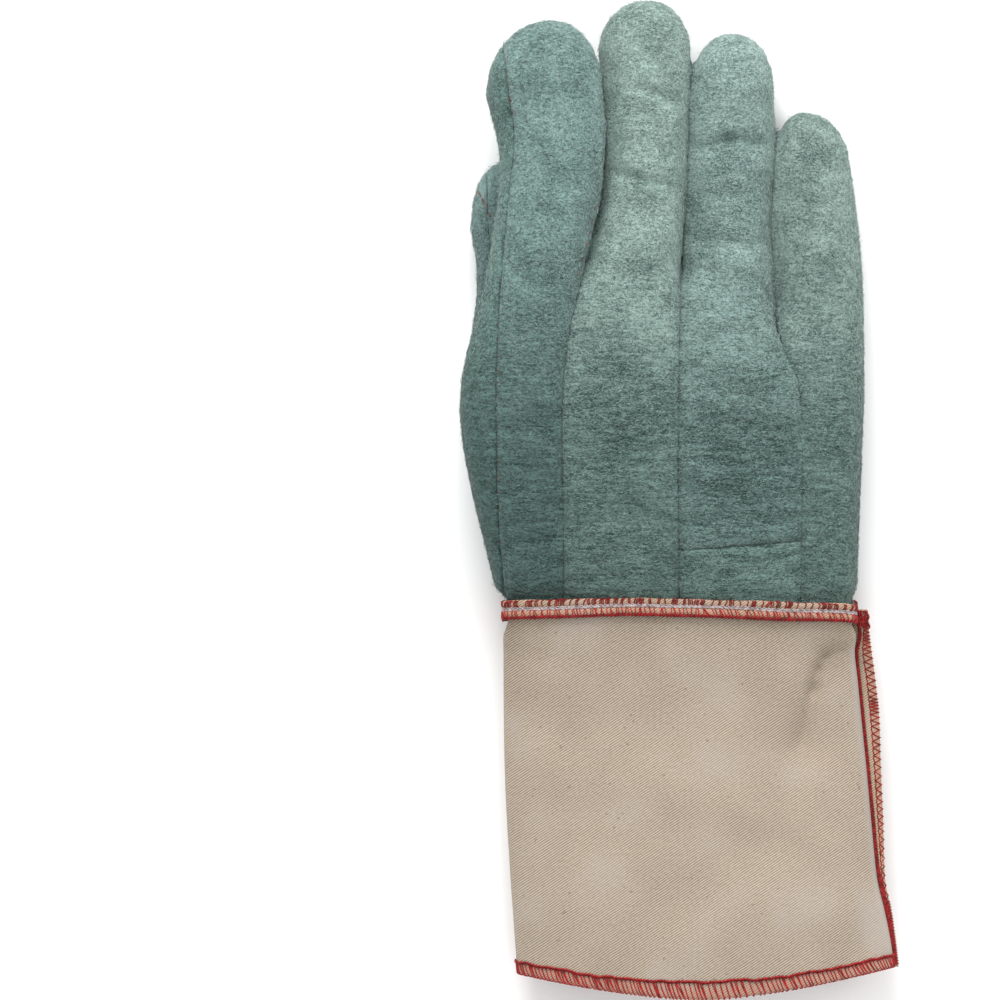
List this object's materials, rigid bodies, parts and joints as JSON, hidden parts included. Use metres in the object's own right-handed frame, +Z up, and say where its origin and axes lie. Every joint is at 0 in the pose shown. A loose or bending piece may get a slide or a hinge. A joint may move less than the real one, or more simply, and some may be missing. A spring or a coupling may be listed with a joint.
{
  "type": "cotton work glove",
  "caption": "Right-hand work glove of thick napped cotton with a drill gauntlet cuff, lying with its back up and its thumb folded under the index side.",
  "frame": {"origin": "centre of the bounding box's underside, on the surface that the glove lies on", "axes": "+X towards the little finger, +Y towards the finger tips, +Z up, out of the back of the hand"},
  "size_m": [0.1444, 0.3298, 0.046],
  "materials": {
    "napped_cotton": "brushed grey-green nap, matt",
    "cotton_drill": "unbleached cream cotton twill, matt",
    "overlocked_drill": "cream twill edge overlocked in red thread"
  },
  "bodies": {
    "root": {"palm": "napped_cotton", "index_back": "napped_cotton", "middle_back": "napped_cotton", "ring_back": "napped_cotton", "ring_back_lower": "napped_cotton", "little_back": "napped_cotton", "thumb_back": "napped_cotton", "thumb_front": "napped_cotton", "cuff": "cotton_drill", "cuff_side_seam": "overlocked_drill", "wrist_band": "overlocked_drill"}
  },
  "joints": []
}
